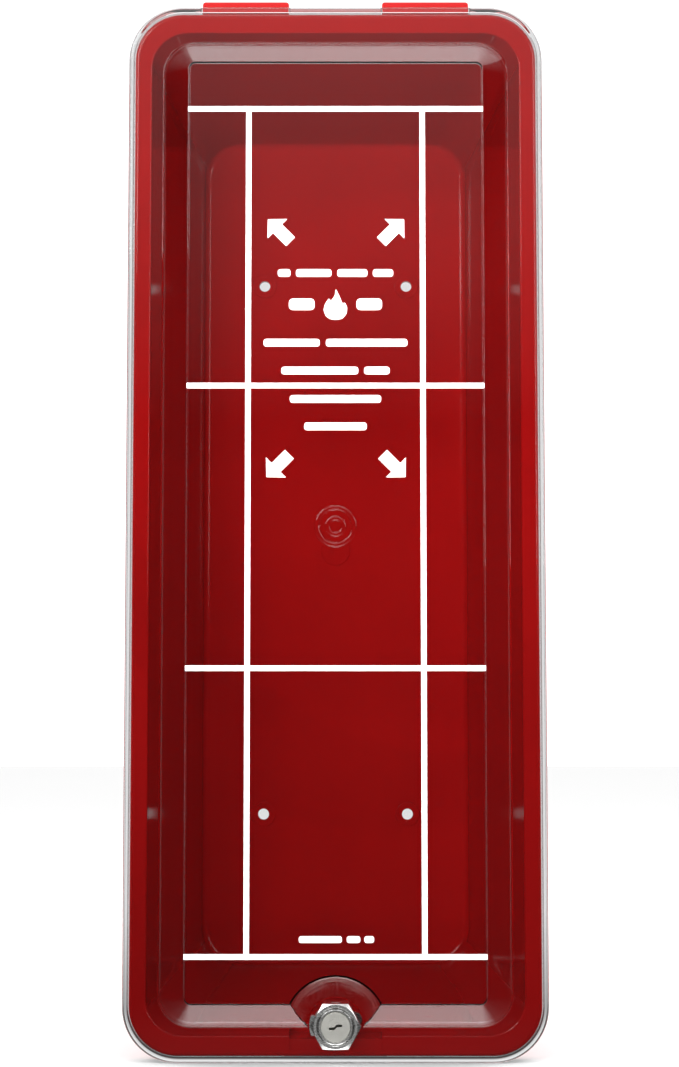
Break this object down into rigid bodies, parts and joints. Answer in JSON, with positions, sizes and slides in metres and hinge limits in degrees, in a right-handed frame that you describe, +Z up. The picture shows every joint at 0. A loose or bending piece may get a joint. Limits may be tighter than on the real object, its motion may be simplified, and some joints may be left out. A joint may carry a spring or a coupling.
{
  "type": "fire extinguisher cabinet",
  "caption": "Surface-mounted wall cabinet for a fire extinguisher: drafted red tub, clear break-front cover on hook hinges, and a cam lock at the bottom.",
  "frame": {"origin": "middle of the tub's rear face, on the plane of the wall", "axes": "+Y into the wall, +Z up along the tall side, X across the front"},
  "size_m": [0.23, 0.1851, 0.5865],
  "materials": {
    "red_abs": "high gloss moulded ABS",
    "clear_styrene": "clear moulded styrene, polished",
    "bright_chrome": "bright chrome plate",
    "chromed_zinc": "chromed die casting",
    "satin_zinc": "stippled satin plate",
    "black_rubber": "matt moulded rubber",
    "wafer_brass": "stamped brass",
    "spring_steel": "drawn wire",
    "zinc_plate": "zinc plated steel"
  },
  "bodies": {
    "tub": {"tub": "red_abs"},
    "cover": {"cover": "clear_styrene", "lock_washer": "bright_chrome", "lock_nut": "bright_chrome", "lock_gasket": "black_rubber", "lock_barrel": "chromed_zinc"},
    "lock_plug": {"lock_plug": "satin_zinc", "plug_clip": "zinc_plate", "stop_washer": "zinc_plate", "cam": "zinc_plate", "cam_washer": "zinc_plate", "cam_nut": "zinc_plate", "wafer_spring_1": "spring_steel", "wafer_spring_2": "spring_steel", "wafer_spring_3": "spring_steel", "wafer_spring_4": "spring_steel"},
    "wafer_1": {"wafer_1": "wafer_brass"},
    "wafer_2": {"wafer_2": "wafer_brass"},
    "wafer_3": {"wafer_3": "wafer_brass"},
    "wafer_4": {"wafer_4": "wafer_brass"}
  },
  "joints": [
    {"name": "cover_hinge", "type": "hinge", "parent": "tub", "child": "cover", "pos_m": [0, -0.1559, 0.28875], "axis": [-1, 0, 0], "range_deg": [0, 100]},
    {"name": "plug_turn", "type": "hinge", "parent": "cover", "child": "lock_plug", "pos_m": [0, -0.1724, -0.2696], "axis": [0, 1, 0], "range_deg": [0, 90]},
    {"name": "wafer_1_slide", "type": "slide", "parent": "lock_plug", "child": "wafer_1", "axis": [1, 0, 0], "range_m": [0, 0.0008]},
    {"name": "wafer_2_slide", "type": "slide", "parent": "lock_plug", "child": "wafer_2", "axis": [-1, 0, 0], "range_m": [0, 0.0008]},
    {"name": "wafer_3_slide", "type": "slide", "parent": "lock_plug", "child": "wafer_3", "axis": [1, 0, 0], "range_m": [0, 0.0008]},
    {"name": "wafer_4_slide", "type": "slide", "parent": "lock_plug", "child": "wafer_4", "axis": [-1, 0, 0], "range_m": [0, 0.0008]}
  ]
}
